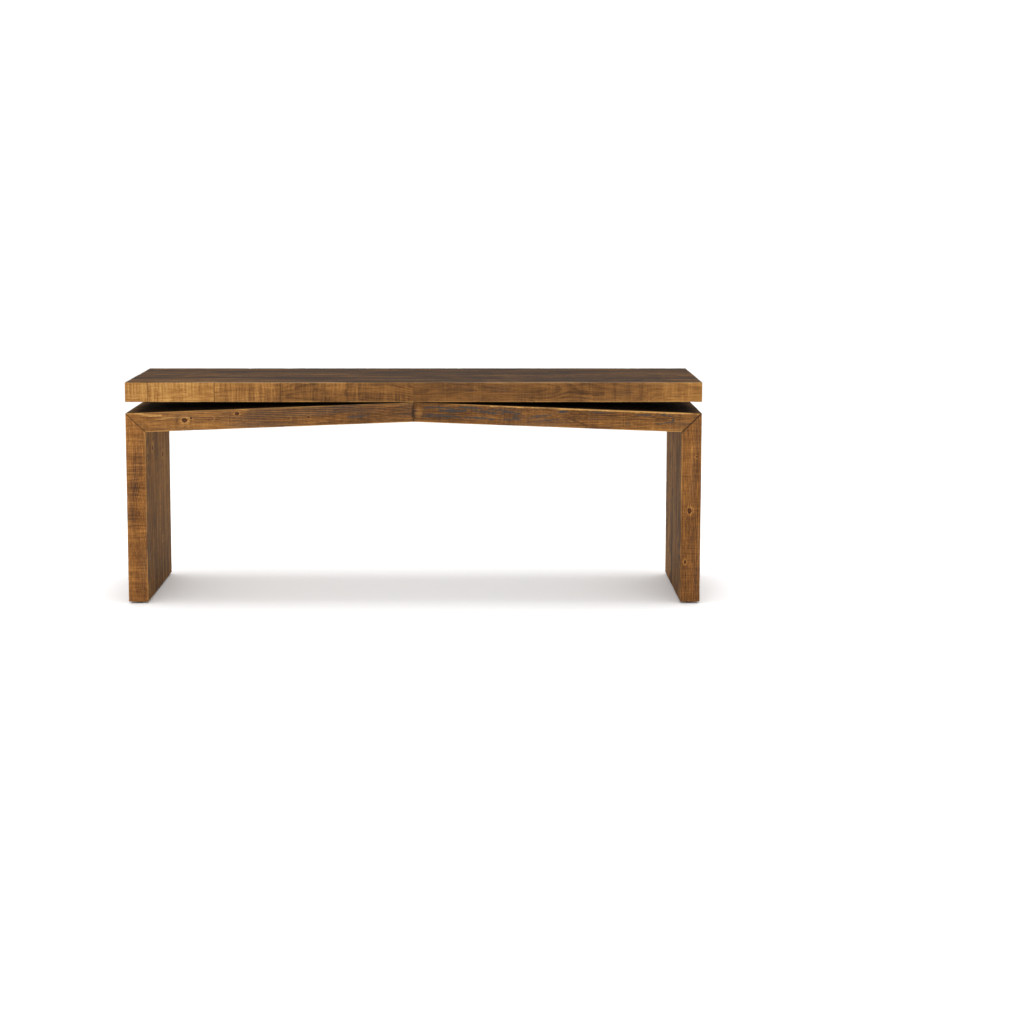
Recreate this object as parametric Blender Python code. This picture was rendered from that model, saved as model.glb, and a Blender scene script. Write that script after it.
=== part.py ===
"""Console table in reclaimed pine.

A hollow mitred slab lies on a frame of two waterfall legs. Each leg turns through a mitre into a panel
that slopes gently up to the middle of the table, so a thin wedge of air stays open between the frame and
the slab, widest at the ends. Legs and sloping panels are each five edge-glued staves; the slab is a box of
thin boards. Axes: x along the table, y from front (negative) to back, z up. The origin is on the floor,
under the middle of the table.
"""
import math

import bmesh
import bpy
from mathutils import Vector

# Driving dimensions, in metres
LENGTH = 2.00025
DEPTH = 0.381
HEIGHT = 0.78105
SLAB = 0.06985        # thickness of the slab
LEG = 0.06985         # thickness of the legs and of the sloping panels
END_GAP = 0.0381      # open height between slab and frame at the ends
STAVES = 5            # boards across the depth
WALL = 0.019          # thickness of the slab's boards
FRONT_LENGTH = 0.230  # short lengths in the slab's front edge, counted from the middle to the left
FRONT_JOINTS = 5      # butt joints between them, the last one in the middle of the table
CLEAR = 0.0003        # clearance between pieces that touch
EASE = 0.0025         # width of the eased outer edges
SEAT = 0.020          # half width of the flat that is planed on the middle joint

# Joinery and hardware
TONGUE = 0.008        # thickness of the splines
TONGUE_WIDTH = 0.044
TONGUE_STOP = 0.025   # distance from a spline's end to the front or back face
RIB_WIDTH = 0.045
RIB_PLACES = (-0.58, -0.30, 0.30, 0.58)
RISER_WIDTH = 0.060
RISER_SPAN = (0.10, 0.70)   # distances of a riser's ends from the middle of the table
BOLT_RADIUS = 0.004
BOLT_HEAD_RADIUS = 0.007
BOLT_HEAD = 0.006
BOLT_POINT = 0.005
SOCKET_RADIUS = 0.003
SOCKET_DEPTH = 0.003
RECESS_RADIUS = 0.010
RECESS = 0.022        # least depth of the recess that hides a bolt's head
BOLT_END = 0.004      # wood left between a bolt's point and the slab's top boards
GLIDE_HEIGHT = 0.006
GLIDE_RADIUS = 0.012
GLIDE_ROUND = 0.0015
GLIDE_INSET = 0.020   # from the front or back face to a glide's centre
NAIL_RADIUS = 0.0015
NAIL_LENGTH = 0.016   # above the glide's top
NAIL_POINT = 0.003

# How round pieces are drawn, and how close points are to count as one
ROUND_SIDES = 16
SOCKET_SIDES = 6
SHARP_ANGLE = math.radians(35)
SAME_POINT = 1e-6

# Levels and slopes that follow from them
HALF = LENGTH / 2
SLAB_UNDER = HEIGHT - SLAB
SEAT_LEVEL = SLAB_UNDER - CLEAR
CORNER_LEVEL = SLAB_UNDER - END_GAP
PITCH = math.atan2(SEAT_LEVEL - CORNER_LEVEL, HALF - SEAT)
STAVE_WIDTH = DEPTH / STAVES
BOLT_TOP = HEIGHT - WALL - BOLT_END
NAIL_TIP = GLIDE_HEIGHT + NAIL_LENGTH
ROUND_CLEAR = 1.4 * CLEAR   # more than between flats, since a faceted bore reaches in between its corners

UP = Vector((0, 0, 1))
DOWN = -UP
BACK = Vector((0, 1, 0))
FRONT = -BACK
RIGHT = Vector((1, 0, 0))
SLAB_FACES = (RIGHT, -RIGHT, BACK, FRONT, UP, DOWN)


def panel_top(reach):
    """Height of a sloping panel's upper face, at a distance from the middle of the table."""
    return SEAT_LEVEL - (reach - SEAT) * math.tan(PITCH)


def panel_under(reach):
    """Height of a sloping panel's lower face."""
    return panel_top(reach) - LEG / math.cos(PITCH)


def material(name, colour, roughness, metallic=0.0):
    """Plain material in one colour."""
    made = bpy.data.materials.new(name)
    made.use_nodes = True
    shader = made.node_tree.nodes["Principled BSDF"]
    shader.inputs["Base Color"].default_value = (*colour, 1.0)
    shader.inputs["Roughness"].default_value = roughness
    shader.inputs["Metallic"].default_value = metallic
    made.diffuse_color = (*colour, 1.0)
    return made


def group(name, parent=None):
    """Empty that holds the pieces of one assembly."""
    empty = bpy.data.objects.new(name, None)
    bpy.context.collection.objects.link(empty)
    empty.parent = parent
    return empty


def place(name, bm, finish=None, parent=None):
    """Turn a mesh in table coordinates into an object whose origin is at its middle."""
    corners = [vertex.co for vertex in bm.verts]
    low = Vector(map(min, zip(*corners)))
    high = Vector(map(max, zip(*corners)))
    middle = (low + high) / 2
    bmesh.ops.translate(bm, verts=bm.verts, vec=-middle)
    bmesh.ops.recalc_face_normals(bm, faces=bm.faces)
    mesh = bpy.data.meshes.new(name)
    bm.to_mesh(mesh)
    bm.free()
    if finish:
        mesh.materials.append(finish)
    made = bpy.data.objects.new(name, mesh)
    made.location = middle
    made.parent = parent
    bpy.context.collection.objects.link(made)
    return made


def block(low, high):
    """Rectangular solid between two corners."""
    bm = bmesh.new()
    bmesh.ops.create_cube(bm, size=1.0)
    size = Vector(high) - Vector(low)
    bmesh.ops.scale(bm, verts=bm.verts, vec=size)
    bmesh.ops.translate(bm, verts=bm.verts, vec=Vector(low) + size / 2)
    return bm


def prism(outline, y_low, y_high):
    """Solid of an outline in x and z, drawn out along y."""
    bm = bmesh.new()
    face = bm.faces.new([bm.verts.new((x, y_low, z)) for x, z in outline])
    grown = bmesh.ops.extrude_face_region(bm, geom=[face])
    moved = [item for item in grown["geom"] if isinstance(item, bmesh.types.BMVert)]
    bmesh.ops.translate(bm, verts=moved, vec=(0, y_high - y_low, 0))
    return bm


def turned(profile, centre_x, centre_y, sides=ROUND_SIDES):
    """Solid turned about a vertical axis, from radius and height pairs that start and end on the axis."""
    bm = bmesh.new()
    points = [bm.verts.new((radius, 0, height)) for radius, height in profile]
    lines = [bm.edges.new(pair) for pair in zip(points, points[1:])]
    bmesh.ops.spin(bm, geom=points + lines, axis=UP, cent=(0, 0, 0), steps=sides, angle=math.tau)
    bmesh.ops.remove_doubles(bm, verts=bm.verts, dist=SAME_POINT)
    bmesh.ops.translate(bm, verts=bm.verts, vec=(centre_x, centre_y, 0))
    return bm


def trim(bm, point, normal):
    """Cut away what lies beyond a plane and close the cut."""
    everything = bm.verts[:] + bm.edges[:] + bm.faces[:]
    bmesh.ops.bisect_plane(bm, geom=everything, dist=SAME_POINT, plane_co=point, plane_no=normal,
                           clear_outer=True)
    bmesh.ops.remove_doubles(bm, verts=bm.verts, dist=SAME_POINT)
    rim = [edge for edge in bm.edges if edge.is_boundary]
    if rim:
        bmesh.ops.holes_fill(bm, edges=rim)


def mitre(bm, corner, own, other):
    """Cut a board along the plane that halves the corner between its own face and another."""
    normal = (other - own).normalized()
    trim(bm, corner - normal * CLEAR / 2, normal)


def ease(bm, corner, face_a, face_b):
    """Take the sharpness off the edge between two faces."""
    trim(bm, corner - face_a * EASE, (face_a + face_b).normalized())


def cut_with(piece, *cutters):
    """Take cutters out of a piece."""
    for cutter in cutters:
        boolean = piece.modifiers.new(cutter.name, "BOOLEAN")
        boolean.operation = "DIFFERENCE"
        boolean.solver = "EXACT"
        boolean.object = cutter


def hide_cutter(cutter):
    """Mark an object as a tool, not a piece."""
    cutter.hide_render = True
    cutter.display_type = "WIRE"
    return cutter


def shade_round(piece):
    """Shade a turned piece smooth, but keep its rims sharp."""
    piece.data.shade_smooth()
    piece.data.set_sharp_from_angle(angle=SHARP_ANGLE)


def square_on(face_a, face_b):
    """Whether two faces meet at a right angle, and so share an edge of the slab."""
    return abs(face_a.dot(face_b)) < SAME_POINT


def stave_span(index):
    """Front and back of one board of a five-board width, with its glue lines left clear."""
    y_low = -DEPTH / 2 + index * STAVE_WIDTH
    y_high = y_low + STAVE_WIDTH
    if index > 0:
        y_low += CLEAR / 2
    if index < STAVES - 1:
        y_high -= CLEAR / 2
    return y_low, y_high


def slab_corner(normal):
    """A point on the slab's box, on the side that a direction points to."""
    centre = Vector((0, 0, HEIGHT - SLAB / 2))
    half = Vector((HALF, DEPTH / 2, SLAB / 2))
    return centre + Vector(n * h for n, h in zip(normal, half))


def reaches(low, high, face):
    """Whether a block touches one of the slab's outer faces."""
    level = slab_corner(face).dot(face)
    return max(Vector(low).dot(face), Vector(high).dot(face)) > level - SAME_POINT


def slab_board(name, own, low, high, finish, parent):
    """One board of the slab's box, mitred wherever it meets another side and eased outside."""
    bm = block(low, high)
    for other in SLAB_FACES:
        if square_on(other, own) and reaches(low, high, other):
            mitre(bm, slab_corner(own + other), own, other)
    for number, face_a in enumerate(SLAB_FACES):
        for face_b in SLAB_FACES[number + 1:]:
            if square_on(face_a, face_b):
                ease(bm, slab_corner(face_a + face_b), face_a, face_b)
    return place(name, bm, finish, parent)


def make_front_edge(finish, parent):
    """The slab's front edge: short lengths butted together up to the middle, then one long one."""
    joints = [-FRONT_LENGTH * count for count in range(FRONT_JOINTS - 1, -1, -1)]
    starts = [-HALF] + [joint + CLEAR / 2 for joint in joints]
    ends = [joint - CLEAR / 2 for joint in joints] + [HALF]
    for number, (x_low, x_high) in enumerate(zip(starts, ends), start=1):
        slab_board(f"slab_front_edge_{number}", FRONT, (x_low, -DEPTH / 2, SLAB_UNDER),
                   (x_high, -DEPTH / 2 + WALL, HEIGHT), finish, parent)


def make_slab(finish, parent):
    """The slab's boards. Returns the bottom one, which the bolts pass."""
    for index in range(STAVES):
        y_low, y_high = stave_span(index)
        number = index + 1
        slab_board(f"slab_top_board_{number}", UP, (-HALF, y_low, HEIGHT - WALL),
                   (HALF, y_high, HEIGHT), finish, parent)
        slab_board(f"slab_left_end_board_{number}", -RIGHT, (-HALF, y_low, SLAB_UNDER),
                   (-HALF + WALL, y_high, HEIGHT), finish, parent)
        slab_board(f"slab_right_end_board_{number}", RIGHT, (HALF - WALL, y_low, SLAB_UNDER),
                   (HALF, y_high, HEIGHT), finish, parent)
    make_front_edge(finish, parent)
    slab_board("slab_back_edge", BACK, (-HALF, DEPTH / 2 - WALL, SLAB_UNDER),
               (HALF, DEPTH / 2, HEIGHT), finish, parent)
    return slab_board("slab_bottom_panel", DOWN, (-HALF, -DEPTH / 2, SLAB_UNDER),
                      (HALF, DEPTH / 2, SLAB_UNDER + WALL), finish, parent)


def make_ribs(finish, parent):
    """Ribs across the inside of the slab, which stiffen it and hold the bolts."""
    half_length = DEPTH / 2 - WALL - CLEAR
    low_level = SLAB_UNDER + WALL + CLEAR
    high_level = HEIGHT - WALL - CLEAR
    ribs = []
    for number, middle in enumerate(RIB_PLACES, start=1):
        bm = block((middle - RIB_WIDTH / 2, -half_length, low_level),
                   (middle + RIB_WIDTH / 2, half_length, high_level))
        ribs.append(place(f"slab_rib_{number}", bm, finish, parent))
    return ribs


def ease_front_and_back(bm, point, face):
    """Ease a long face's edges at the front and at the back of the table."""
    for side in (FRONT, BACK):
        ease(bm, Vector((point.x, side.y * DEPTH / 2, point.z)), face, side)


def leg_stave(side, index):
    """One upright stave of a leg. Side is -1 for the left leg and 1 for the right one."""
    outward = RIGHT * side
    panel_face = Vector((side * math.sin(PITCH), 0, math.cos(PITCH)))
    inner = Vector((side * (HALF - LEG), 0, 0))
    outer = Vector((side * HALF, 0, 0))
    x_low, x_high = sorted((inner.x, outer.x))
    y_low, y_high = stave_span(index)
    bm = block((x_low, y_low, GLIDE_HEIGHT), (x_high, y_high, CORNER_LEVEL))
    corner = outer + UP * CORNER_LEVEL
    mitre(bm, corner, outward, panel_face)
    ease(bm, corner, outward, panel_face)
    foot = UP * GLIDE_HEIGHT
    for point, face in ((outer, outward), (inner, -outward)):
        ease_front_and_back(bm, point, face)
        ease(bm, point + foot, face, DOWN)
    ease_front_and_back(bm, foot, DOWN)
    return bm


def panel_stave(side, index):
    """One stave of a sloping panel, mitred at the leg and cut plumb at the middle of the table."""
    outward = RIGHT * side
    upper_face = Vector((side * math.sin(PITCH), 0, math.cos(PITCH)))
    start = CLEAR / 2
    outline = [(start, SEAT_LEVEL), (SEAT, SEAT_LEVEL), (HALF, CORNER_LEVEL),
               (HALF, panel_under(HALF)), (start, panel_under(start))]
    y_low, y_high = stave_span(index)
    bm = prism([(side * reach, level) for reach, level in outline], y_low, y_high)
    corner = Vector((side * HALF, 0, CORNER_LEVEL))
    mitre(bm, corner, upper_face, outward)
    ease(bm, corner, upper_face, outward)
    ease_front_and_back(bm, corner, upper_face)
    ease_front_and_back(bm, Vector((side * HALF, 0, panel_under(HALF))), -upper_face)
    return bm


def spline(name, centre, tilt, finish, parent):
    """Loose tongue that lies across a joint, turned about y, with the cutter for its groove."""
    half = Vector((TONGUE_WIDTH / 2, DEPTH / 2 - TONGUE_STOP, TONGUE / 2))
    room = half + Vector((CLEAR, CLEAR, CLEAR))
    tongue = place(name, block(-half, half), finish, parent)
    groove = hide_cutter(place(f"{name}_groove", block(-room, room), None, parent))
    for made in (tongue, groove):
        made.location = centre
        made.rotation_euler = (0, tilt, 0)
    return groove


def mitre_middle(side):
    """Middle of a leg's mitre, and the tilt about y of a tongue that is square to the mitre."""
    outer = Vector((side * HALF, 0, CORNER_LEVEL))
    inner = Vector((side * (HALF - LEG), 0, panel_under(HALF - LEG)))
    along = inner - outer
    return (outer + inner) / 2, math.atan2(along.x, along.z)


def make_sides(leg_finish, panel_finish, tongue_finish, parent):
    """Both legs with their sloping panels and splines, as lists of staves by side."""
    middle_groove = spline("middle_spline", Vector((0, 0, SEAT_LEVEL - LEG / 2)), 0.0,
                           tongue_finish, parent)
    legs, panels = {}, {}
    for side, word in ((-1, "left"), (1, "right")):
        centre, tilt = mitre_middle(side)
        groove = spline(f"corner_spline_{word}", centre, tilt, tongue_finish, parent)
        legs[side], panels[side] = [], []
        for index in range(STAVES):
            leg = place(f"leg_{word}_stave_{index + 1}", leg_stave(side, index), leg_finish, parent)
            panel = place(f"panel_{word}_stave_{index + 1}", panel_stave(side, index),
                          panel_finish, parent)
            cut_with(leg, groove)
            cut_with(panel, groove, middle_groove)
            legs[side].append(leg)
            panels[side].append(panel)
    return legs, panels


def make_risers(finish, parent):
    """Tapered strips on the centre line that carry the slab away from the middle joint."""
    near, far = RISER_SPAN
    top = SLAB_UNDER - CLEAR
    risers = {}
    for side, word in ((-1, "left"), (1, "right")):
        outline = [(near, panel_top(near) + CLEAR), (far, panel_top(far) + CLEAR), (far, top), (near, top)]
        bm = prism([(side * reach, level) for reach, level in outline], -RISER_WIDTH / 2, RISER_WIDTH / 2)
        risers[side] = place(f"riser_{word}", bm, finish, parent)
    return risers


def bolt_profile(seat):
    """Half section of a bolt whose head bears at a height."""
    low = seat - BOLT_HEAD
    return [(0, low), (BOLT_HEAD_RADIUS, low), (BOLT_HEAD_RADIUS, seat), (BOLT_RADIUS, seat),
            (BOLT_RADIUS, BOLT_TOP - BOLT_POINT), (0, BOLT_TOP)]


def socket_profile(seat):
    """Half section of the hexagonal socket in a bolt's head."""
    low = seat - 2 * BOLT_HEAD
    end = seat - BOLT_HEAD + SOCKET_DEPTH
    return [(0, low), (SOCKET_RADIUS, low), (SOCKET_RADIUS, end), (0, end)]


def bolt_hole_profile(seat, under):
    """Half section of a bolt's hole with the recess for its head, which opens below a panel."""
    low = under - RECESS
    bore = BOLT_RADIUS + ROUND_CLEAR
    return [(0, low), (RECESS_RADIUS, low), (RECESS_RADIUS, seat + CLEAR), (bore, seat + CLEAR),
            (bore, BOLT_TOP + CLEAR), (0, BOLT_TOP + CLEAR)]


def make_bolts(finish, parent, panels, risers, bottom_panel, ribs):
    """Bolts from below, through a panel and its riser into a rib of the slab."""
    for number, (reach, rib) in enumerate(zip(RIB_PLACES, ribs), start=1):
        side = 1 if reach > 0 else -1
        under = panel_under(abs(reach))
        seat = under + RECESS
        bolt = place(f"bolt_{number}", turned(bolt_profile(seat), reach, 0), finish, parent)
        shade_round(bolt)
        socket = turned(socket_profile(seat), reach, 0, SOCKET_SIDES)
        cut_with(bolt, hide_cutter(place(f"socket_cutter_{number}", socket, None, parent)))
        hole = turned(bolt_hole_profile(seat, under), reach, 0)
        cutter = hide_cutter(place(f"bolt_hole_{number}", hole, None, parent))
        for piece in (panels[side][STAVES // 2], risers[side], bottom_panel, rib):
            cut_with(piece, cutter)


def glide_profile():
    """Half section of a glide and the nail that it carries."""
    top = GLIDE_HEIGHT - CLEAR
    rim = [(GLIDE_RADIUS - GLIDE_ROUND * (1 - math.sin(angle)), GLIDE_ROUND * (1 - math.cos(angle)))
           for angle in (0, math.pi / 6, math.pi / 3, math.pi / 2)]
    return [(0, 0), *rim, (GLIDE_RADIUS, top), (NAIL_RADIUS, top),
            (NAIL_RADIUS, NAIL_TIP - NAIL_POINT), (0, NAIL_TIP)]


def nail_hole_profile():
    """Half section of a nail's hole."""
    radius = NAIL_RADIUS + ROUND_CLEAR
    end = NAIL_TIP + CLEAR
    return [(0, 0), (radius, 0), (radius, end), (0, end)]


def make_glides(finish, parent, legs):
    """Four round glides nailed under the legs."""
    for side, word in ((-1, "left"), (1, "right")):
        centre_x = side * (HALF - LEG / 2)
        for depth_side, depth_word, index in ((-1, "front", 0), (1, "back", STAVES - 1)):
            centre_y = depth_side * (DEPTH / 2 - GLIDE_INSET)
            name = f"glide_{depth_word}_{word}"
            glide = place(name, turned(glide_profile(), centre_x, centre_y), finish, parent)
            shade_round(glide)
            hole = turned(nail_hole_profile(), centre_x, centre_y)
            cut_with(legs[side][index], hide_cutter(place(f"nail_hole_{name}", hole, None, parent)))


def make_table():
    """The whole table."""
    slab_wood = material("slab_pine", (0.150, 0.078, 0.034), 0.62)
    leg_wood = material("leg_pine", (0.200, 0.092, 0.034), 0.62)
    panel_wood = material("panel_pine", (0.170, 0.085, 0.036), 0.62)
    hidden_wood = material("plain_softwood", (0.430, 0.290, 0.160), 0.75)
    tongue_wood = material("spline_plywood", (0.520, 0.360, 0.210), 0.70)
    steel = material("blackened_steel", (0.060, 0.060, 0.062), 0.45, 1.0)
    plastic = material("glide_plastic", (0.012, 0.012, 0.013), 0.50)

    table = group("console_table")
    slab = group("slab", table)
    frame = group("frame", table)
    bottom_panel = make_slab(slab_wood, slab)
    ribs = make_ribs(hidden_wood, slab)
    legs, panels = make_sides(leg_wood, panel_wood, tongue_wood, frame)
    risers = make_risers(hidden_wood, frame)
    make_bolts(steel, frame, panels, risers, bottom_panel, ribs)
    make_glides(plastic, frame, legs)


for old in list(bpy.data.objects):
    bpy.data.objects.remove(old, do_unlink=True)
make_table()
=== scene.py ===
"""Console table in reclaimed pine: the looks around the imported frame.

Every visible board is rebuilt here from the faces of its CAD node: a dense mesh with worn edges, open glue
lines, dents, dished knots and drying checks. Each gets a pine of its own, worked out in the board's own
coordinates. Lengths are metres; x runs along the table, y from front to back, z up.
"""

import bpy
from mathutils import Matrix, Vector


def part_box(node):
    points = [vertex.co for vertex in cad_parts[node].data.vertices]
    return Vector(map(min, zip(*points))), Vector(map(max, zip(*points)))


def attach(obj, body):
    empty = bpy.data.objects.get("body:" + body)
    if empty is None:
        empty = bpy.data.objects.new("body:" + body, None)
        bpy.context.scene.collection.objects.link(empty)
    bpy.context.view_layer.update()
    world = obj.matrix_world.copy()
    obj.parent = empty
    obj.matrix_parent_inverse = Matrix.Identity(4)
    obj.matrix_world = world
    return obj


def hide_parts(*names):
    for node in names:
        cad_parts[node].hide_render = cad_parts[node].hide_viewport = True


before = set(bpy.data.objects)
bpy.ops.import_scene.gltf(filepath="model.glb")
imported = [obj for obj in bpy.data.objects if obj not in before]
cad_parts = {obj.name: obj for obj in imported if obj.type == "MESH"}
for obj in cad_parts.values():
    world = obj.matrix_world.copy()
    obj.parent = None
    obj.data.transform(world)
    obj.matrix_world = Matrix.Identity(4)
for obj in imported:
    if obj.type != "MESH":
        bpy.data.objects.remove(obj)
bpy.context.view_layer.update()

import itertools
import math

import bpy
import numpy as np
from mathutils import Vector

scene = bpy.context.scene
X, Y, Z = np.eye(3)
MM = 0.001

EDGE_RADIUS = 2.3 * MM       # worn outer edges: mean radius and how much it varies
EDGE_RADIUS_SPREAD = 1.9 * MM
LEAST_RADIUS = 0.6 * MM
SEAM_RADIUS = 0.7 * MM       # eased edges along the glue lines
EDGE_STEPS = np.array([0, 0.4, 0.9, 1.5, 2.2, 3.1, 4.4]) * MM
SEAM_STEPS = np.array([0, 0.3, 0.7, 1.3, 2.6]) * MM
HIDDEN_STEPS = np.array([0, 0.3, 0.8]) * MM
ACROSS_STEP = 5.0 * MM
ALONG_STEP = 6.5 * MM
SQUARE_ON = 0.3              # two planes count as square to each other below this cosine
SAME_WAY = 0.9999            # triangles of one face: least cosine and most distance between them
SAME_LEVEL = 0.02 * MM
JOINTS_APART = 0.2 * MM      # planes at least this far apart are two planes
CHECK_HALF_WIDTH = 0.55 * MM
CHECK_ROOM = 2.2 * MM
BEFORE, BEHIND = 0, 2        # sides of a board by their place in its list
FILLED = {"slab_top_board_1": BEHIND, "slab_top_board_2": BEFORE,
          "slab_right_end_board_1": BEHIND, "slab_right_end_board_2": BEFORE}
JOINT_CLOSING = 0.2 * MM
RECESS_ROOM = 3.0 * MM       # bolt recesses and bores
RECESS_DEPTH = 30 * MM
BOLT_HEAD = 6.3 * MM
BORE_RADIUS = 4.3 * MM
ROUND_SIDES = 48             # sides of turned pieces and of bores
BOARD_SHARP = 48             # degrees from which an edge looks sharp
GLIDE_SHARP = 50
SEAM_WIDTH = 0.8 * MM        # how far the dark of glue lines, mitres and the middle joint reaches
MITRE_WIDTH = {"left": 1.0 * MM, "right": 1.9 * MM}
MIDDLE_WIDTH = 2.0 * MM
GLUE_LINE = 0.75             # darkness of a glue line; those in the slab's top are fainter
TOP_GLUE_LINE = 0.3
# Darkness of the butt joints from one end of the slab's front edge to the other
FRONT_JOINTS = (GLUE_LINE, 0.7, 0.95, 0.7, 0.85, 0.25, GLUE_LINE)


# ------ planes of the CAD boards

def merged_faces(node):
    """The plane faces of a CAD node, as lists [normal, level, area], coplanar triangles joined."""
    faces = []
    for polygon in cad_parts[node].data.polygons:
        normal = np.array(polygon.normal)
        level = normal @ np.array(polygon.center)
        for face in faces:
            if face[0] @ normal > SAME_WAY and abs(face[1] - level) < SAME_LEVEL:
                face[2] += polygon.area
                break
        else:
            faces.append([normal, level, polygon.area])
    return faces


def facing(node, direction):
    """Normal and level of the face that bounds a node in a direction, squarely or at a mitre."""
    found = [face for face in merged_faces(node) if face[0] @ direction > 0.6]
    normal, level, _ = max(found, key=lambda face: face[2] * (face[0] @ direction))
    return normal / np.linalg.norm(normal), level


slab_boxes = [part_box(name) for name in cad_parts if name.startswith("slab_")]
slab_low = np.min([low for low, _ in slab_boxes], axis=0)
slab_high = np.max([high for _, high in slab_boxes], axis=0)
SLAB_PLANES = [(axis, axis @ slab_high) for axis in np.eye(3)]
SLAB_PLANES += [(-axis, -axis @ slab_low) for axis in np.eye(3)]
FLOOR_SIDE = {}
PANEL_SIDE = {}
SLOPE = {}
for word, side in (("left", -1), ("right", 1)):
    leg, panel = f"leg_{word}_stave_", f"panel_{word}_stave_"
    outer, inner = facing(leg + "3", side * X), facing(leg + "3", -side * X)
    front, back = facing(leg + "1", -Y), facing(leg + "5", Y)
    top, under = facing(panel + "3", Z), facing(panel + "3", -Z)
    FLOOR_SIDE[word] = [outer, inner, front, back, facing(leg + "3", -Z), top]
    PANEL_SIDE[word] = [top, under, front, back, outer]
    SLOPE[word] = side * np.cross(Y, top[0])


# ------ noise

def lattice(cells, seed):
    """A number from -1 to 1 for each whole-numbered point."""
    mixed = cells[:, 0] * 73856093 ^ cells[:, 1] * 19349663 ^ cells[:, 2] * 83492791 ^ seed * 40503
    mixed = (mixed ^ (mixed >> 13)) * 1274126177 & 0xFFFFFFFF
    mixed = (mixed ^ (mixed >> 16)) * 668265263 & 0xFFFFFFFF
    return (mixed ^ (mixed >> 15)) / 2**31 - 1


def noise(points, seed):
    """Smooth noise from -1 to 1 at points whose unit is one cell."""
    cells = np.floor(points).astype(np.int64)
    share = points - cells
    share = share * share * (3 - 2 * share)
    total = np.zeros(len(points))
    for corner in itertools.product((0, 1), repeat=3):
        weight = np.where(np.array(corner) == 1, share, 1 - share).prod(axis=1)
        total += weight * lattice(cells + np.array(corner), seed)
    return total


# ------ boards

class Board:
    """One board: its CAD node, its directions, and the outer planes of its assembly."""

    def __init__(self, node, grain, across, outer_planes, seed):
        self.node = node
        self.grain = grain
        self.across = across
        self.depth = np.cross(grain, across)
        self.outer = outer_planes
        self.seed = seed
        self.random = np.random.default_rng(seed)
        self.start = self.closed(facing(node, -grain))
        self.end = self.closed(facing(node, grain))
        self.sides = [self.closed(facing(node, direction))
                      for direction in (-across, -self.depth, across, self.depth)]
        self.low, self.high = np.array(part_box(node))
        self.middle = (self.low + self.high) / 2
        self.axes = np.array([grain, across, self.depth])
        self.sink = self.random.uniform(0.0, 0.25) * MM
        self.knots = [self.knot(point, size * MM) for *point, size in KNOTS.get(node, ())]
        self.strokes = STROKES.get(node, ())
        self.checks = []
        self.seams = [(plane, self.seam_strength(plane), self.seam_width(plane))
                      for plane in (*self.sides, self.start, self.end) if self.seam_strength(plane)]

    def seam_strength(self, plane):
        """How dark the joint along a plane is: 0 on the outside and at the slab's mitred corners."""
        if self.is_outer(plane):
            return 0.0
        if self.slants(plane):
            return 0.0 if self.node.startswith("slab_") else 1.0
        if self.node.startswith("slab_top"):
            return TOP_GLUE_LINE
        if self.node.startswith("slab_front"):
            return FRONT_JOINTS[int(self.node[-1]) - (plane is not self.end)]
        return GLUE_LINE

    def slants(self, plane):
        """Whether a plane is a mitre."""
        return any(SQUARE_ON < abs(plane[0] @ outer[0]) < 0.95 for outer in self.outer)

    def seam_width(self, plane):
        """How far the dark of a joint reaches into the board."""
        if self.slants(plane):
            return MITRE_WIDTH["right" if "right" in self.node else "left"]
        return MIDDLE_WIDTH if plane is self.start and self.node.startswith("panel_") else SEAM_WIDTH

    def closed(self, plane):
        """The plane, moved out to close the clearance in the CAD model where it is a joint."""
        normal, level = plane
        return plane if self.is_outer(plane) else (normal, level + JOINT_CLOSING)

    def is_outer(self, plane):
        """Whether a plane of the board is on the outside of the table."""
        return any(plane[0] @ normal > 0.999 and abs(plane[1] - level) < JOINTS_APART
                   for normal, level in self.outer)

    def knot(self, point, size):
        """A knot at a point of the surface: its place on the board and its size in each direction."""
        distances = [abs(normal @ np.array(point) - level) for normal, level in self.sides]
        sideways = 5 if np.argmin(distances) % 2 == 0 else 1
        inwards = 1 if sideways == 5 else 5
        return (*self.local(point), np.array([1.2, sideways, inwards]) * size)

    def local(self, point):
        """A point of the table in the board's own coordinates: along, across and depth."""
        return self.axes @ (np.array(point) - self.middle)


def spaced(length, near, far, step):
    """Distances from 0 to a length: given steps at both ends and even ones between."""
    room = length - near[-1] - far[-1]
    count = max(1, round(room / step)) if step else 1
    inside = np.linspace(near[-1], length - far[-1], count + 1)[1:-1]
    return np.concatenate([near, inside, length - far[::-1]])


def corner_point(board, one, other):
    """Where two sides of a board meet, in the plane through the origin that is square to the grain."""
    return np.linalg.solve([one[0], other[0], board.grain], [one[1], other[1], 0.0])


def side_steps(board, index, neighbour):
    """Steps along a side, starting at the corner that it shares with a neighbour."""
    side, beside = board.sides[index], board.sides[neighbour]
    if board.is_outer(side):
        return EDGE_STEPS if board.is_outer(beside) or abs(side[0] @ beside[0]) > SQUARE_ON else SEAM_STEPS
    if board.is_outer(beside) and abs(side[0] @ beside[0]) < SQUARE_ON:
        return HIDDEN_STEPS
    return np.zeros(1)


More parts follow.
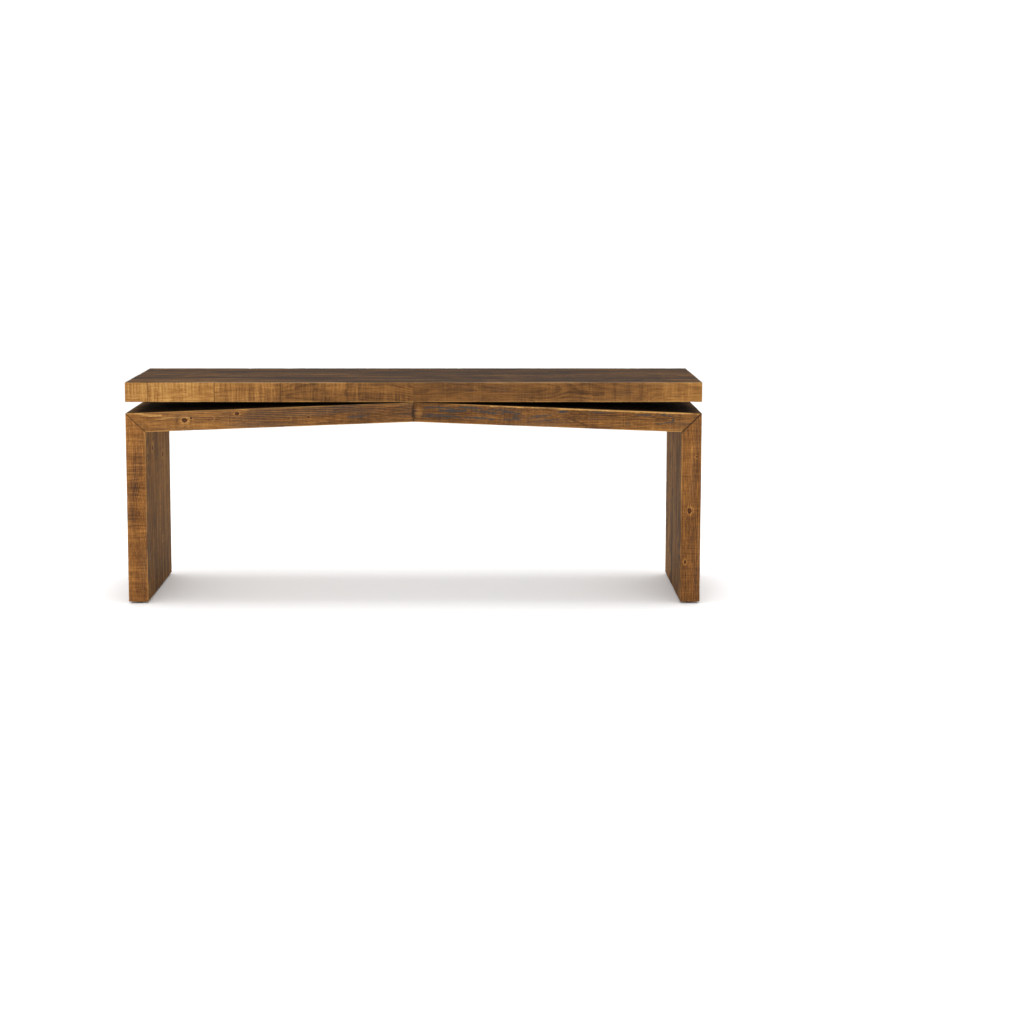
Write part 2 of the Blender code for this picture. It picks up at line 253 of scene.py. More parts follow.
def ring_points(board):
    """The board's section as points, and each point's check, or -1, with its place across the check."""
    corners = [corner_point(board, board.sides[index - 1], board.sides[index]) for index in range(4)]
    points, marks = [], []
    for index in range(4):
        start, stop = corners[index], corners[(index + 1) % 4]
        length = np.linalg.norm(stop - start)
        near, far = side_steps(board, index, index - 1), side_steps(board, index, (index + 1) % 4)
        distances = spaced(length, near, far, ACROSS_STEP if board.is_outer(board.sides[index]) else 0)
        rows = [(distance, -1, 0) for distance in distances]
        for number, check in enumerate(board.checks):
            if check["side"] == index:
                middle = check["across"] * length
                rows = [row for row in rows if abs(row[0] - middle) > CHECK_ROOM]
                rows += [(middle + place * CHECK_HALF_WIDTH, number, place) for place in (-1, 0, 1)]
        rows = np.array(sorted(rows)[:-1])
        points.append(start + rows[:, :1] * ((stop - start) / length))
        marks.append(rows[:, 1:])
    points, marks = np.concatenate(points), np.concatenate(marks)
    u, v = points @ board.across, points @ board.depth
    if np.sum(u * np.roll(v, -1) - np.roll(u, -1) * v) < 0:
        points, marks = points[::-1], marks[::-1]
    return points, marks


def end_levels(board, points, plane):
    """How far along the grain each line of the section meets an end plane."""
    normal, level = plane
    return (level - points @ normal) / (board.grain @ normal)


def end_steps(board, plane):
    """Steps along the grain at an end of the board."""
    square = abs(plane[0] @ board.grain) > 0.99
    return SEAM_STEPS if square and not board.is_outer(plane) else EDGE_STEPS


def swept(board):
    """The board's points by station and place in the section, and the section's checks."""
    section, marks = ring_points(board)
    first = end_levels(board, section, board.start)
    last = end_levels(board, section, board.end)
    length = np.median(last - first)
    near, far = end_steps(board, board.start), end_steps(board, board.end)
    stations = spaced(length, near, far, ALONG_STEP)
    shares = np.clip((stations - near[-1]) / (length - near[-1] - far[-1]), 0, 1)
    low = first[None, :] + np.minimum(stations, near[-1])[:, None]
    high = last[None, :] - np.minimum(length - stations, far[-1])[:, None]
    along = low * (1 - shares[:, None]) + high * shares[:, None]
    return section[None, :, :] + along[:, :, None] * board.grain, marks


def open_end_rings(board, ring):
    """Rings that close an end that shows, from the edge inwards."""
    middle = (ring.min(axis=0) + ring.max(axis=0)) / 2
    u, v = (ring - middle) @ board.across, (ring - middle) @ board.depth
    rings = []
    for inset in (*EDGE_STEPS[1:], 12 * MM, 24 * MM):
        shrink_u, shrink_v = 1 - inset / abs(u).max(), 1 - inset / abs(v).max()
        change = np.outer(u * (shrink_u - 1), board.across) + np.outer(v * (shrink_v - 1), board.depth)
        rings.append(ring + change)
    return rings


def depth_below(points, planes):
    """Each point's depth below each plane."""
    return np.stack([level - points @ normal for normal, level in planes], axis=1)


def worn_radius(points):
    """Radius of the worn outer edges at each point, alike for all boards."""
    slow = noise(points / (70 * MM), 11)
    fast = noise(points / (16 * MM), 12)
    chips = np.clip(noise(points / (26 * MM), 13) - 0.62, 0, 1) * 14 * MM
    return np.maximum(EDGE_RADIUS + EDGE_RADIUS_SPREAD * (0.6 * slow + 0.4 * fast) + chips, LEAST_RADIUS)


def rounded(points, planes, radius):
    """Round off the edges where planes meet, with one radius or one for each point."""
    reach = np.maximum(np.reshape(radius, (-1, 1)) - depth_below(points, planes), 0)
    length = np.linalg.norm(reach, axis=1)
    scale = np.where(length > radius, radius / np.maximum(length, 1e-9), 1.0)
    return points - (reach * (1 - scale[:, None])) @ np.array([normal for normal, _ in planes])


def round_seams(points, board):
    """Round off the board's own edges along glue lines and butt joints."""
    for plane, strength, _ in board.seams:
        for outer in board.outer:
            if not board.slants(plane) and abs(plane[0] @ outer[0]) <= SQUARE_ON:
                points = rounded(points, [plane, outer], SEAM_RADIUS * (0.25 + 0.75 * strength))
    return points


def sink_surface(points, board):
    """Move the outer faces in: hand-planed waves, raised grain, dents and dished knots."""
    local = (points - board.middle) @ board.axes.T
    waves = 0.16 * MM * (1 + noise(points / (55 * MM), 21))
    raised = 0.10 * MM * (1 + noise(local / np.array([90, 7, 7]) / MM, board.seed))
    chatter = 0.07 * MM * (1 + noise(local / np.array([14, 60, 60]) / MM, board.seed + 1))
    dents = np.clip(noise(points / (19 * MM), 22) - 0.70, 0, 1) * 3.0 * MM
    wear = waves + raised + chatter + dents + board.sink
    for *place, shape in board.knots:
        away = (local - np.array(place)) / shape
        wear = wear + 0.45 * MM * np.exp(-np.sum(away**2, axis=1))
    for (normal, _), below in zip(board.outer, depth_below(points, board.outer).T):
        points = points - np.outer(wear * np.clip(1 - below / (3 * MM), 0, 1), normal)
    return points


def cut_checks(grid, marks, board):
    """Open the drying checks, and give each point's share of a check's dark floor."""
    dark = np.zeros(grid.shape[:2])
    for number, check in enumerate(board.checks):
        normal = board.sides[check["side"]][0]
        sideways = np.cross(board.grain, normal)
        columns = np.flatnonzero(marks[:, 0] == number)
        for column in columns:
            line = grid[:, column]
            along = (line - board.middle) @ board.grain
            share = (along - check["start"]) / check["length"]
            opening = np.where((share > 0) & (share < 1), np.sin(np.pi * np.clip(share, 0, 1)) ** 0.6, 0.0)
            wander = 1.3 * MM * noise(np.column_stack([along / (45 * MM), along * 0, along * 0]), number + 31)
            place = marks[column, 1]
            direction = np.sign((line[0] - grid[0, columns].mean(axis=0)) @ sideways) * abs(place)
            spread = direction * CHECK_HALF_WIDTH * (opening * check["width"] - 1)
            line = line + np.outer(wander + spread, sideways)
            if place == 0:
                line = line - np.outer(opening * check["depth"], normal)
                dark[:, column] = opening
            grid[:, column] = line
    return dark


def edge_nearness(points, board):
    """1 at the table's outer edges, falling to 0 on the flat."""
    depths = np.sort(np.abs(depth_below(points, board.outer)), axis=1)
    return np.exp(-(np.maximum(depths[:, 1] - 0.5 * MM, 0) / (2.4 * MM)) ** 2)


def seam_nearness(points, board):
    """Up to 1 in the board's glue lines, butt joints and mitres, 0 on the flat."""
    near = np.zeros(len(points))
    for (normal, level), strength, width in board.seams:
        below = np.abs(level - points @ normal)
        near = np.maximum(near, strength * np.exp(-(np.maximum(below - 0.25 * MM, 0) / width) ** 2))
    return near


def front_share(points):
    """1 on faces that look to the front or the back, 0 on the rest."""
    return np.clip((np.abs(points[:, 1]) - slab_high[1]) / (1.6 * MM) + 1.6, 0, 1)


def filler_share(points, board):
    """Up to 1 in the seam that has been filled with pale filler, 0 on the rest."""
    normal, level = board.sides[FILLED[board.node]]
    patchy = np.clip(0.70 + 1.1 * noise(points / (38 * MM), 41), 0, 1)
    return patchy * np.exp(-(np.maximum(level - points @ normal - 0.5 * MM, 0) / (0.8 * MM)) ** 2)


def painted_shade_share(points, board):
    """Painted shade: 1 on the tops of the panels, where the slab above shades them, 0 at their open ends."""
    normal, level = board.outer[0]
    on_top = np.clip(1.6 - (level - points @ normal) / (1.2 * MM), 0, 1)
    inboard = np.clip(0.45 + (1.0 - np.abs(points[:, 0])) / 0.09, 0, 1)
    return on_top * inboard


def grid_faces(rings, count):
    """Quads between rings that are laid one after another."""
    start = np.arange(rings - 1)[:, None] * count
    place = np.arange(count)[None, :]
    beside = (place + 1) % count
    quads = np.stack([start + place, start + beside, start + count + beside, start + count + place], axis=2)
    return quads.reshape(-1, 4).tolist()


def closed_faces(rings, count):
    """Quads between rings, and one face over the first and the last of them."""
    return [*grid_faces(rings, count), list(range(count))[::-1],
            list(range((rings - 1) * count, rings * count))]


def turned(centre, outline):
    """Rings of points round an upright axis, from an outline's radii and levels."""
    turns = [math.tau * side / ROUND_SIDES for side in range(ROUND_SIDES)]
    return [(centre[0] + radius * math.cos(turn), centre[1] + radius * math.sin(turn), level)
            for radius, level in outline for turn in turns]


def new_mesh(name, points, faces):
    """A mesh from its points and faces."""
    mesh = bpy.data.meshes.new(name)
    mesh.from_pydata(points, [], faces)
    return mesh


def placed(name, data):
    """A new object in the scene."""
    made = bpy.data.objects.new(name, data)
    scene.collection.objects.link(made)
    return made


def stand_for(node, mesh, material, sharp_angle):
    """Finish a mesh and put it in the place of a CAD node."""
    mesh.shade_smooth()
    mesh.set_sharp_from_angle(angle=math.radians(sharp_angle))
    mesh.materials.append(material)
    piece = placed(node + "_detail", mesh)
    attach(piece, "root")
    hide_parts(node)


def bolt_tool(bolt):
    """A closed tool for a bolt's recess and bore."""
    low, high = np.array(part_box(bolt))
    recess = (high[0] - low[0]) / 2 + RECESS_ROOM
    outline = ((recess, low[2] - RECESS_DEPTH), (recess, low[2] + BOLT_HEAD),
               (BORE_RADIUS, low[2] + BOLT_HEAD), (BORE_RADIUS, high[2] + BOLT_HEAD))
    return new_mesh("bolt_tool", turned((low + high) / 2, outline), closed_faces(len(outline), ROUND_SIDES))


def bored(mesh, bolt):
    """A copy of a mesh with a bolt's recess and bore cut out of it."""
    block, tool = placed("block", mesh), placed("bolt_tool", bolt_tool(bolt))
    cut = block.modifiers.new("cut", "BOOLEAN")
    cut.object = tool
    cut.operation = "DIFFERENCE"
    cut.solver = "MANIFOLD"
    graph = bpy.context.evaluated_depsgraph_get()
    result = bpy.data.meshes.new_from_object(block.evaluated_get(graph))
    for thing in (block, tool):
        bpy.data.objects.remove(thing)
    result.materials.clear()
    result.polygons.foreach_set("material_index", [0] * len(result.polygons))
    return result


def bolts_in(board):
    """The bolts that go through a board."""
    found = []
    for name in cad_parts:
        low, high = np.array(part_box(name))
        middle = (low + high)[:2] / 2
        inside = np.all(middle > board.low[:2]) and np.all(middle < board.high[:2])
        if name.startswith("bolt_") and inside and low[2] < board.high[2] and high[2] > board.low[2]:
            found.append(name)
    return found


def add_layers(mesh, board, points, dark):
    """Store what the pine needs at each point: its place in the board, how near an edge it is, how dark it is
    in joints and checks, and where painted shade and filler go.
    """
    grain = mesh.attributes.new("grain", "FLOAT_VECTOR", "POINT")
    grain.data.foreach_set("vector", ((points - board.middle) @ board.axes.T).astype(np.float32).ravel())
    layers = {"edge": edge_nearness(points, board), "front": front_share(points)}
    if board.node.startswith("panel_"):
        # Painted shade on the panel tops under the slab.
        layers["painted_shade"] = painted_shade_share(points, board)
    if board.node in FILLED:
        layers["filler"] = filler_share(points, board)
    layers["seam"] = np.maximum(seam_nearness(points, board), dark)
    for name, values in layers.items():
        mesh.attributes.new(name, "FLOAT", "POINT").data.foreach_set("value", values.astype(np.float32))


def make_board(board, material):
    """The detailed board, which stands for its CAD node."""
    grid, marks = swept(board)
    count = grid.shape[1]
    dark = cut_checks(grid, marks, board)
    first_rings = open_end_rings(board, grid[0])[::-1] if board.is_outer(board.start) else []
    points = np.concatenate([*first_rings, grid.reshape(-1, 3)])
    dark = np.concatenate([np.zeros(count * len(first_rings)), dark.ravel()])
    points = rounded(points, board.outer, worn_radius(points))
    points = round_seams(points, board)
    points = sink_surface(points, board)
    lowest = (slab_low[0], slab_low[1], board.low[2])
    highest = (slab_high[0], slab_high[1], board.high[2])
    points = np.minimum(np.maximum(points, lowest), highest)

    mesh = new_mesh(board.node + "_detail", points.tolist(), closed_faces(len(points) // count, count))
    for bolt in bolts_in(board):
        mesh = bored(mesh, bolt)
        points = np.array([vertex.co for vertex in mesh.vertices])
        dark = np.zeros(len(points))
    add_layers(mesh, board, points, dark)
    stand_for(board.node, mesh, material, BOARD_SHARP)


# ------ materials

def linear(red, green, blue):
    """Scene colour of a display colour given in 0 to 255."""
    def channel(value):
        value /= 255
        return value / 12.92 if value <= 0.04045 else ((value + 0.055) / 1.055) ** 2.4
    return channel(red), channel(green), channel(blue), 1.0


class Nodes:
    """Short names for building the node tree of a material or a world."""

    def __init__(self, owner, shader="Principled BSDF"):
        owner.use_nodes = True
        self.owner = owner
        self.tree = owner.node_tree
        self.shader = self.tree.nodes[shader]

    def node(self, kind, values=(), **settings):
        """Add a node, set it up, and link or set its inputs in order; None leaves one alone."""
        made = self.tree.nodes.new("ShaderNode" + kind)
        for key, value in settings.items():
            setattr(made, key, value)
        for socket, value in zip(made.inputs, values):
            self.feed(socket, value)
        return made

    def feed(self, socket, value):
        """Link a socket, or set it when the value is plain."""
        if isinstance(value, bpy.types.NodeSocket):
            self.tree.links.new(value, socket)
        elif value is not None:
            socket.default_value = value

    def surface(self, name, value):
        """Link or set one of the shader's own sockets."""
        self.feed(self.shader.inputs[name], value)

    def math(self, operation, *values):
        return self.node("Math", values, operation=operation).outputs[0]

    def times(self, one, other, plus=None):
        """Product of two values, with a third added to it."""
        return self.math("MULTIPLY" if plus is None else "MULTIPLY_ADD", one, other, plus)

    def swing(self, pattern, amount, rest):
        """The rest, plus an amount times a pattern's distance from its middle level."""
        return self.times(self.math("SUBTRACT", pattern, 0.5), amount, rest)

    def vector(self, operation, *values):
        made = self.node("VectorMath", values, operation=operation)
        return made.outputs["Value" if operation in ("LENGTH", "DOT_PRODUCT") else "Vector"]

    def joined(self, *values):
        return self.node("CombineXYZ", values).outputs[0]

    def attribute(self, name, output="Fac"):
        return self.node("Attribute", attribute_name=name).outputs[output]

    def noise(self, vector, scale=1.0, detail=2.0, roughness=0.5, distortion=0.0):
        values = vector, None, scale, detail, roughness, None, None, None, distortion
        return self.node("TexNoise", values).outputs["Fac"]

    def stretched(self, vector, along, across, **settings):
        """Noise with a number of features a metre along the grain, and another across it."""
        return self.noise(self.vector("MULTIPLY", vector, (along, across, across)), **settings)

    def step(self, value, low, high, to_low=0.0, to_high=1.0):
        """Smooth change from one level to another as a value passes from low to high."""
        levels = value, low, high, to_low, to_high
        return self.node("MapRange", levels, interpolation_type="SMOOTHSTEP").outputs[0]

    def mix(self, share, one, other):
        return self.node("Mix", (share, *[None] * 5, one, other), data_type="RGBA").outputs[2]

    def ramp(self, value, *stops):
        made = self.node("ValToRGB", (value,))
        elements = made.color_ramp.elements
        while len(elements) < len(stops):
            elements.new(0.5)
        for element, (place, colour) in zip(elements, stops):
            element.position = place
            element.color = colour
        return made.outputs[0]

    def bump(self, height, distance, strength=1.0):
        """Raise the surface by a height."""
        self.surface("Normal", self.node("Bump", (strength, distance, None, height)).outputs[0])


BLACK_BROWN = linear(20, 15, 12)
UMBER = linear(56, 38, 24)
BROWN = linear(93, 61, 32)
TAN = linear(127, 85, 43)
HONEY = linear(160, 111, 56)
GOLD = linear(204, 155, 88)
# Grey of the painted sheen on the wide faces of the slab's top boards.
SHEEN_GREY = linear(66, 57, 48)
SMOKE = linear(58, 61, 61)
PALE = linear(150, 138, 120)
# Pale grey of the top's edge line, partly wear and partly painted highlight, and of the filler in the top.
TOP_PALE_GREY = linear(124, 108, 92)
KNOT = linear(50, 31, 21)
KNOT_RED = linear(104, 60, 34)
# Edge marks, partly wear and partly painted highlight, are golden and run straight; the others waver with the
# grain
STROKE_COLOURS = {"gold": GOLD, "worn": GOLD, "honey": HONEY, "dark": UMBER, "smoke": SMOKE, "pale": PALE,
                  "red": KNOT_RED}
# What warmth takes from red, green and blue, on front and back faces and on the others
WARM_FILTER = np.array([0, 0.10, 0.16, 0])
OLIVE_FILTER = np.array([0.08, 0.03, 0.20, 0])


def knot_field(nodes, grain, knots, seeded):
    """Distance to the nearest knot in knot radii, and the grain as it bends round all of them."""
    away = flow = None
    for *place, shape in knots:
        shifted = nodes.vector("SUBTRACT", grain, tuple(place))
        distance = nodes.vector("LENGTH", nodes.vector("DIVIDE", shifted, tuple(shape)))
        away = distance if away is None else nodes.math("MINIMUM", away, distance)
        push = nodes.vector("MULTIPLY", shifted, nodes.step(distance, 0.6, 4.0, -0.72, 0.0))
        flow = nodes.vector("MULTIPLY_ADD", push, (0.0, 1.0, 1.0), grain if flow is None else flow)
    ragged = nodes.noise(nodes.vector("MULTIPLY", seeded, (230.0, 230.0, 60.0)))
    return nodes.swing(ragged, 0.9, away), flow


def knot_colour(nodes, away, colour):
    """The wood's colour with the knots and the swirl round them."""
    heart = nodes.ramp(away, (0.0, KNOT), (0.42, KNOT_RED), (0.72, KNOT), (0.92, BLACK_BROWN))
    colour = nodes.mix(nodes.step(away, 0.98, 1.12, 1.0, 0.0), colour, heart)
    ring_round = nodes.math("FRACT", nodes.times(away, 2.1))
    swirl = nodes.times(nodes.step(away, 1.2, 3.2, 0.35, 0.0), nodes.step(ring_round, 0.5, 0.95))
    return nodes.mix(swirl, colour, BROWN)


def front_point(board, x, below):
    """The point of the front face at an x and a distance below the board's top edge."""
    normal, level = max((*board.sides, board.start, board.end), key=lambda plane: plane[0][2])
    return x, slab_low[1], (level - normal[0] * x) / normal[2] - below


def stroke(nodes, place, ragged, board, x, below, length, width, angle, bend=0.0, soft=0.5):
    """Share of a brush-like mark on the front face, given by its middle and half sizes in millimetres."""
    turn = math.radians(angle)
    middle = board.local(front_point(board, x * MM, below * MM))
    lengthwise = board.axes @ np.array([math.cos(turn), 0, math.sin(turn)]) / (length * MM)
    sideways = board.axes @ np.array([-math.sin(turn), 0, math.cos(turn)]) / (width * MM)
    shifted = nodes.vector("SUBTRACT", place, tuple(middle))
    u = nodes.vector("DOT_PRODUCT", shifted, tuple(lengthwise))
    v = nodes.vector("DOT_PRODUCT", shifted, tuple(sideways))
    if bend:
        v = nodes.times(nodes.times(u, u), bend, v)
    distance = nodes.times(ragged, 2.6, nodes.vector("LENGTH", nodes.joined(u, v, 0.0)))
    return nodes.step(distance, 2.3 - soft, 2.3 + 0.5 * soft, 1.0, 0.0)


def growth_rings(nodes, random, along, across, depth, flowing):
    """Share of late wood, in rings round a pith that runs beside the board."""
    tilt_across, tilt_depth = random.uniform(-0.02, 0.02), random.uniform(-0.035, 0.035)
    pith_across, pith_depth = random.uniform(-0.03, 0.03), random.choice((-1, 1)) * random.uniform(0.04, 0.10)
    from_across = nodes.times(along, tilt_across, nodes.math("SUBTRACT", across, pith_across))
    from_depth = nodes.times(along, tilt_depth, nodes.math("SUBTRACT", depth, pith_depth))
    radius = nodes.vector("LENGTH", nodes.joined(from_across, from_depth, 0.0))
    turns = nodes.times(radius, 1 / random.uniform(3.6 * MM, 5.2 * MM))
    phase = nodes.math("FRACT", nodes.times(nodes.stretched(flowing, 14.0, 110.0), 0.55, turns))
    return nodes.times(nodes.step(phase, 0.30, 0.86), nodes.step(phase, 0.88, 1.0, 1.0, 0.0))


def saw_marks(nodes, random, along, seeded, front, strength):
    """Marks across the grain: how they lighten and darken the wood, and the share of the deep ones."""
    lines = nodes.stretched(seeded, 150.0, 7.0, detail=3.0, roughness=0.62, distortion=0.2)
    bands = nodes.stretched(seeded, 30.0, 1.6, detail=1.0)
    drift = nodes.stretched(seeded, 7.0, 9.0, detail=1.0)
    turns = nodes.times(along, math.tau / random.uniform(9.5 * MM, 12.5 * MM))
    comb = nodes.math("SINE", nodes.times(drift, 26.0, turns))
    area = nodes.step(nodes.stretched(seeded, 8.0, 12.0), 0.34, 0.60, 0.30, 1.0)
    area = nodes.times(area, nodes.times(front, 0.8 * strength, 0.2 * strength))
    soft = nodes.times(comb, 0.035, nodes.math("SUBTRACT", lines, 0.5))
    soft = nodes.times(nodes.swing(bands, 0.45, soft), area)
    return soft, nodes.times(nodes.step(lines, 0.62, 0.74), area)


def with_wear_and_painted_light(nodes, board, colour, edge, front, patch, warmth, light, worn_share):
    """The wood's colour with its pale edges, partly wear and partly painted highlight, tinted, and with what
    lies over it: dark in joints, painted shade on the panel tops under the slab, pale filler.
    """
    # Pale edges: partly wear, partly a painted highlight where the rounded edges catch the light.
    worn = nodes.times(edge, nodes.step(patch, 0.32, 0.60, 0.0, worn_share))
    on_top = board.node.startswith("slab_top")
    if not on_top:
        colour = nodes.mix(worn, colour, GOLD)
    filters = [tuple(light * (1 - warmth * taken)) for taken in (OLIVE_FILTER, WARM_FILTER)]
    colour = nodes.vector("MULTIPLY", colour, nodes.mix(front, *filters))
    # On the top the pale edge line, partly wear and partly painted highlight, goes on after the brightness
    # filter.
    if on_top:
        colour = nodes.mix(worn, colour, TOP_PALE_GREY)
    overlays = [("seam", 0.92, BLACK_BROWN)]
    if board.node.startswith("panel_"):
        # Painted shade: the panel tops under the slab are darkened almost to black.
        overlays.insert(0, ("painted_shade", 0.9, BLACK_BROWN))
    if board.node in FILLED:
        overlays.append(("filler", 0.7, TOP_PALE_GREY if on_top else PALE))
    for name, strength, paint in overlays:
        colour = nodes.mix(nodes.times(nodes.attribute(name), strength), colour, paint)
    return colour


def pine(board, tone=0.0, front_tone=0.0, saw=0.5, stain=0.4, grey=0.0, rings=0.6, contrast=1.0, bands=0.6,
         mottled=0.4, warmth=0.0, light=1.0, worn_share=0.5, shades=()):
    """Reclaimed pine for one board.

    Tone shifts it from dark to golden, front_tone on the front and back faces only. Saw, stain, the grey
    sheen, rings, contrast, bands and mottled are the strengths of the marks across the grain, the grey
    weathering, a painted sheen (a dull grey film on the wide faces that stands in for the reflection of the
    bright room), the growth rings, the fine streaks, the broad ones and the speckle. Warmth is how reddish
    the wood is, light its brightness, and the edge share how pale its edges are, partly from wear and partly
    from a painted highlight.
    Each shade is the start, end and amount of a change of tone along the board.
    """
    random = np.random.default_rng(board.seed + 500)
    nodes = Nodes(bpy.data.materials.new(board.node + "_pine"))
    grain = nodes.attribute("grain", "Vector")
    front = nodes.attribute("front")
    edge = nodes.attribute("edge")
    offset = tuple(random.uniform(-9, 9, 3))
    seeded = nodes.vector("ADD", grain, offset)
    flow = grain
    if board.knots:
        away, flow = knot_field(nodes, grain, board.knots, seeded)
    waves = nodes.swing(nodes.stretched(seeded, 2.2, 8.0), 0.05, 0.0)
    flow = nodes.vector("ADD", flow, nodes.joined(0.0, waves, waves))
    flowing = nodes.vector("ADD", flow, offset)
    along, across, depth = nodes.node("SeparateXYZ", (flow,)).outputs

    broad = nodes.stretched(flowing, 1.5, 26.0, detail=3.0, roughness=0.55)
    streak = nodes.stretched(flowing, 5.0, 130.0, detail=4.0, roughness=0.65)
    fibre = nodes.stretched(flowing, 22.0, 820.0, roughness=0.6)
    mottle = nodes.stretched(seeded, 85.0, 190.0, detail=3.0, roughness=0.65)
    patch = nodes.stretched(seeded, 6.0, 10.0)
    ring_area = nodes.step(nodes.stretched(seeded, 3.0, 14.0, detail=1.0), 0.34, 0.62, 0.35, 1.0)
    ring_share = nodes.times(growth_rings(nodes, random, along, across, depth, flowing), ring_area)
    saw_soft, saw_deep = saw_marks(nodes, random, along, seeded, front, saw)

    value = 0.5 + tone
    for pattern, amount in ((broad, bands), (streak, 0.95 * contrast), (fibre, 0.60), (mottle, mottled),
                            (patch, 0.30)):
        value = nodes.swing(pattern, amount, value)
    value = nodes.times(ring_share, -0.42 * rings, value)
    value = nodes.times(front, front_tone, value)
    for start, end, change in shades:
        value = nodes.math("ADD", value, nodes.step(along, start, end, 0.0, change))
    if board.knots:
        halo = nodes.times(nodes.step(away, 1.0, 1.4), nodes.step(away, 1.6, 3.0, 1.0, 0.0))
        value = nodes.times(halo, 0.20, value)
    value = nodes.times(saw_soft, 0.95, value)
    colour = nodes.ramp(value, (0.02, UMBER), (0.26, BROWN), (0.46, TAN), (0.68, HONEY), (1.0, GOLD))

    stained = nodes.stretched(flowing, 3.4, 24.0, detail=4.0, roughness=0.62)
    stained = nodes.step(stained, 0.46, 0.66, 0.0, stain)
    stained = nodes.times(stained, nodes.times(ring_share, 0.75, 0.30))
    colour = nodes.mix(stained, colour, SMOKE)
    # Painted sheen: a grey film on the wide faces stands in for the grey reflection of the bright room seen
    # at a low angle.
    if grey:
        sheen_share = nodes.times(nodes.times(front, -grey, grey), nodes.step(mottle, 0.3, 0.7, 0.7, 1.2))
        colour = nodes.mix(sheen_share, colour, SHEEN_GREY)
    colour = nodes.mix(nodes.times(saw_deep, 0.34), colour, SMOKE)
    pores = nodes.stretched(nodes.vector("ADD", flowing, (3.0, 0.0, 0.0)), 16.0, 620.0, detail=1.0)
    pores = nodes.step(pores, 0.62, 0.74, 0.0, 0.55)
    colour = nodes.mix(pores, colour, UMBER)
    for name, strength, *shape in board.strokes:
        share = nodes.times(stroke(nodes, grain if name == "worn" else flow, mottle, board, *shape), front)
        share = nodes.times(share, nodes.step(streak, 0.33, 0.58, 0.4 * strength, strength))
        colour = nodes.mix(share, colour, STROKE_COLOURS[name])
    if board.knots:
        colour = knot_colour(nodes, away, colour)

    colour = with_wear_and_painted_light(nodes, board, colour, edge, front, patch, warmth, light, worn_share)
    nodes.surface("Base Color", colour)
    nodes.surface("Roughness", nodes.times(edge, -0.08, nodes.times(streak, 0.24, 0.64)))
    nodes.surface("Specular IOR Level", 0.12)

    height = nodes.times(fibre, 0.45, nodes.times(streak, 0.55))
    for pattern, amount in ((ring_share, 0.3 * rings), (saw_soft, -1.2), (saw_deep, -0.5), (pores, -0.6)):
        height = nodes.times(pattern, amount, height)
    if board.knots:
        rim = nodes.times(nodes.step(away, 0.84, 0.98), nodes.step(away, 1.0, 1.3, 1.0, 0.0))
        height = nodes.times(rim, -0.6, height)
    nodes.bump(height, 0.5 * MM, 0.6)
    return nodes.owner


def object_wood(name, dark, light, along):
    """Plain unfinished wood for hidden pieces, with the grain along x or y."""
    nodes = Nodes(bpy.data.materials.new(name))
    place = nodes.node("TexCoord").outputs["Object"]
    stretch = (4.0, 160.0, 160.0) if along == "x" else (160.0, 4.0, 160.0)
    lines = nodes.noise(nodes.vector("MULTIPLY", place, stretch), detail=3.0)
    nodes.surface("Base Color", nodes.ramp(lines, (0.3, dark), (0.7, light)))
    nodes.surface("Roughness", nodes.times(lines, 0.2, 0.6))
    nodes.bump(lines, 0.2 * MM)
    return nodes.owner


def speckled(name, one, other, rough_low, rough_span, metallic=0.0):
    """Plastic or blackened steel: a faint mottle in colour and gloss."""
    nodes = Nodes(bpy.data.materials.new(name))
    place = nodes.node("TexCoord").outputs["Object"]
    mottle = nodes.noise(place, scale=420.0, detail=3.0)
    nodes.surface("Base Color", nodes.mix(mottle, one, other))
    nodes.surface("Roughness", nodes.times(mottle, rough_span, rough_low))
    nodes.surface("Metallic", metallic)
    return nodes.owner


# ------ the table

def random_knots(board, count):
    """Scatter knots over a board."""
    half = (board.high - board.low) @ np.abs(board.axes.T) / 2
    draw = board.random.uniform
    for _ in range(count):
        size = draw(3.5, 9.5) * MM
        along, across = draw(-0.9, 0.9) * half[0], draw(-0.75, 0.75) * half[1]
        depth = board.random.choice((-1, 1)) * half[2]
        board.knots.append((along, across, depth, np.array([1.2, 1, 5]) * size))


def random_checks(board, count):
    """Open short drying checks on the board's outer sides, mostly near its ends."""
    sides = [index for index, plane in enumerate(board.sides) if board.is_outer(plane)]
    half = float(np.abs((board.high - board.low) @ board.grain)) / 2
    draw = board.random.uniform
    for _ in range(count):
        length = draw(0.05, 0.16)
        start = board.random.choice((-1, 1)) * draw(0.35, 0.95) * half - length / 2
        side = int(board.random.choice(sides))
        if all(check["side"] != side for check in board.checks):
            board.checks.append({"side": side, "across": draw(0.25, 0.75), "start": start, "length": length,
                                 "depth": draw(0.8, 1.8) * MM, "width": draw(0.7, 1.3)})


def add_board(node, grain, across, planes, seed, knots, checks, **look):
    """Make one board with its scattered knots, its checks and its pine."""
    board = Board(node, grain, across, planes, seed)
    random_knots(board, knots)
    random_checks(board, checks)
    make_board(board, pine(board, **look))


FRONT = slab_low[1]
RIGHT_END = slab_high[0]
